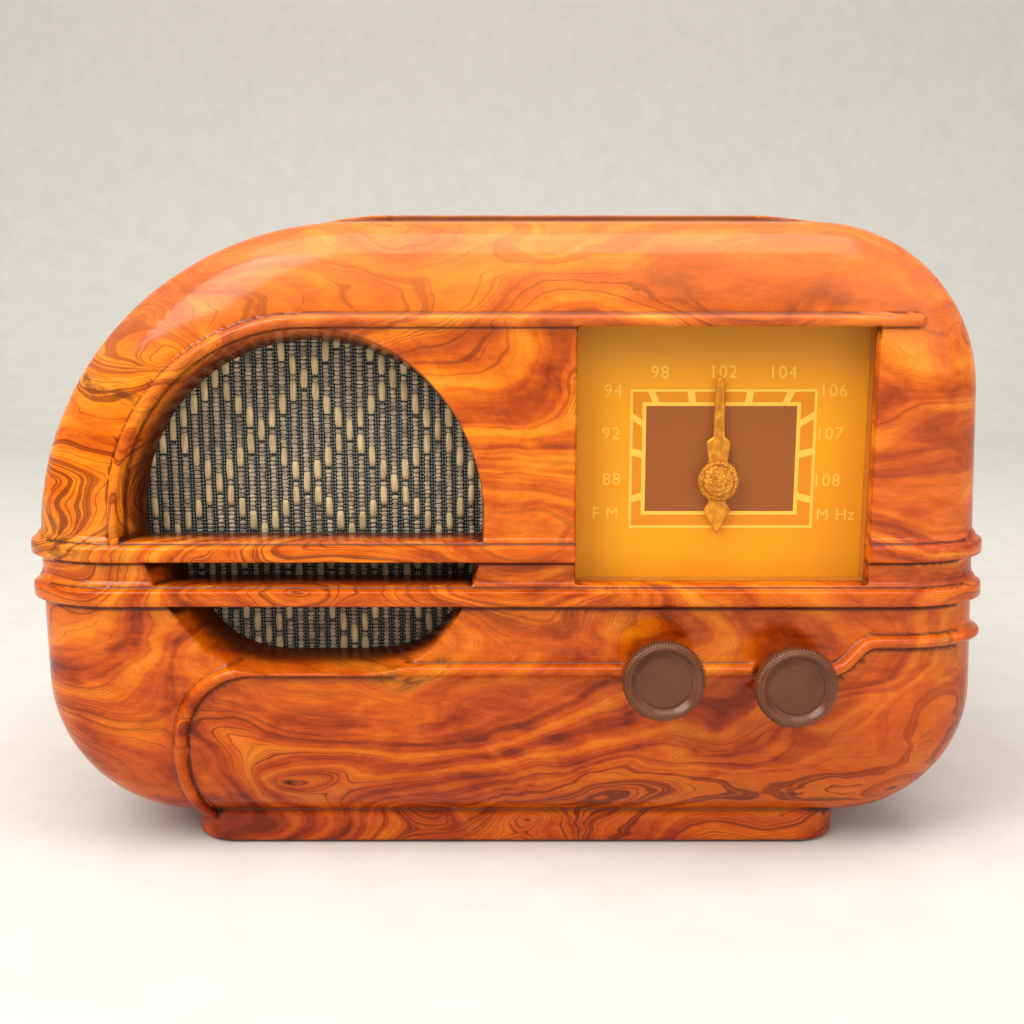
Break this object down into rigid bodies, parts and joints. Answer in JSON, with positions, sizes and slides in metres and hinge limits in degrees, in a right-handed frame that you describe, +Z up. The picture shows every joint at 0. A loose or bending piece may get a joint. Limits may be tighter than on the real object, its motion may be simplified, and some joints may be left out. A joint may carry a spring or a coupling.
{
  "type": "table radio",
  "caption": "Streamlined table radio with a rounded asymmetric cabinet, a round cloth grille crossed by two bars, a square pointer dial and two knobs.",
  "frame": {"origin": "middle of the underside of the box around the whole radio", "axes": "+X to the radio's right as seen from the front, +Y from the front to the back, +Z up"},
  "size_m": [0.2988, 0.166, 0.199],
  "materials": {
    "burl": "glossy moulded plastic with an orange and brown burl wood figure",
    "hardboard": "pressed board, fine felted texture",
    "screw_steel": "zinc plated steel",
    "felt": "dark felt",
    "black_plastic": "black moulding",
    "grille_cloth": "woven cloth, dark green ground with straw coloured ribs",
    "zinc_steel": "zinc plated sheet steel",
    "cone_paper": "dark pressed paper",
    "ferrite": "dark grey ferrite",
    "clear_dial": "clear plastic sheet",
    "brown_plastic": "brown moulding",
    "knob_brown": "satin brown moulding with a knurled rim",
    "amber_dial": "amber sheet printed in pale yellow and brown",
    "gilt": "gilt pressed metal",
    "brass": "plain brass",
    "shaft_steel": "turned steel",
    "cord": "waxed cord",
    "aluminium": "satin aluminium",
    "bulb_glass": "clear glass bulb",
    "circuit_board": "brown phenolic paper board",
    "winding_tape": "amber winding tape"
  },
  "bodies": {
    "case": {"aerial_terminals": "black_plastic", "back_cover": "hardboard", "back_screw_1": "screw_steel", "back_screw_2": "screw_steel", "back_screw_3": "screw_steel", "back_screw_4": "screw_steel", "baffle_board": "hardboard", "baffle_screw_1": "screw_steel", "baffle_screw_2": "screw_steel", "baffle_screw_3": "screw_steel", "baffle_screw_4": "screw_steel", "board_screw_1": "screw_steel", "board_screw_2": "screw_steel", "bracket_screw_1": "screw_steel", "bracket_screw_2": "screw_steel", "cabinet": "burl", "circuit_board": "circuit_board", "dial_cord": "cord", "dial_cover": "clear_dial", "dial_plate": "amber_dial", "dial_spacer": "brown_plastic", "filter_capacitor": "black_plastic", "foot_1": "felt", "foot_2": "felt", "foot_3": "felt", "foot_4": "felt", "grille_cloth": "grille_cloth", "lamp_bulb_left": "bulb_glass", "lamp_bulb_right": "bulb_glass", "lamp_holder_left": "brass", "lamp_holder_right": "brass", "mains_inlet": "black_plastic", "shield_can": "aluminium", "speaker_basket": "zinc_steel", "speaker_cone": "cone_paper", "speaker_dust_cap": "cone_paper", "speaker_magnet": "ferrite", "speaker_screw_1": "screw_steel", "speaker_screw_2": "screw_steel", "speaker_screw_3": "screw_steel", "speaker_screw_4": "screw_steel", "speaker_yoke": "zinc_steel", "transformer_coil": "winding_tape", "transformer_core": "zinc_steel", "tuner_bracket": "zinc_steel", "tuner_frame": "aluminium", "tuner_stator": "aluminium", "tuning_bush": "brass", "tuning_nut": "screw_steel", "volume_control": "zinc_steel", "volume_nut": "screw_steel"},
    "volume": {"volume_shaft": "shaft_steel", "volume_knob": "knob_brown"},
    "tuning": {"tuning_shaft": "shaft_steel", "tuning_knob": "knob_brown"},
    "needle": {"pointer": "gilt", "pointer_hub_cap": "gilt", "tuning_spindle": "shaft_steel", "cord_drum": "brown_plastic", "tuner_rotor": "aluminium"}
  },
  "joints": [
    {"name": "volume_turn", "type": "hinge", "parent": "case", "child": "volume", "pos_m": [0.04652, -0.075, 0.0628], "axis": [0, 1, 0], "range_deg": [-150, 150]},
    {"name": "tuning_turn", "type": "hinge", "parent": "case", "child": "tuning", "pos_m": [0.08582, -0.075, 0.0608], "axis": [0, 1, 0], "range_deg": [-540, 540]},
    {"name": "pointer_swing", "type": "hinge", "parent": "case", "child": "needle", "pos_m": [0.06452, -0.056, 0.119], "axis": [0, 1, 0], "range_deg": [-90, 90]}
  ],
  "couplings": [
    {"joint": "tuning_turn", "follows": "pointer_swing", "ratio": 6}
  ]
}
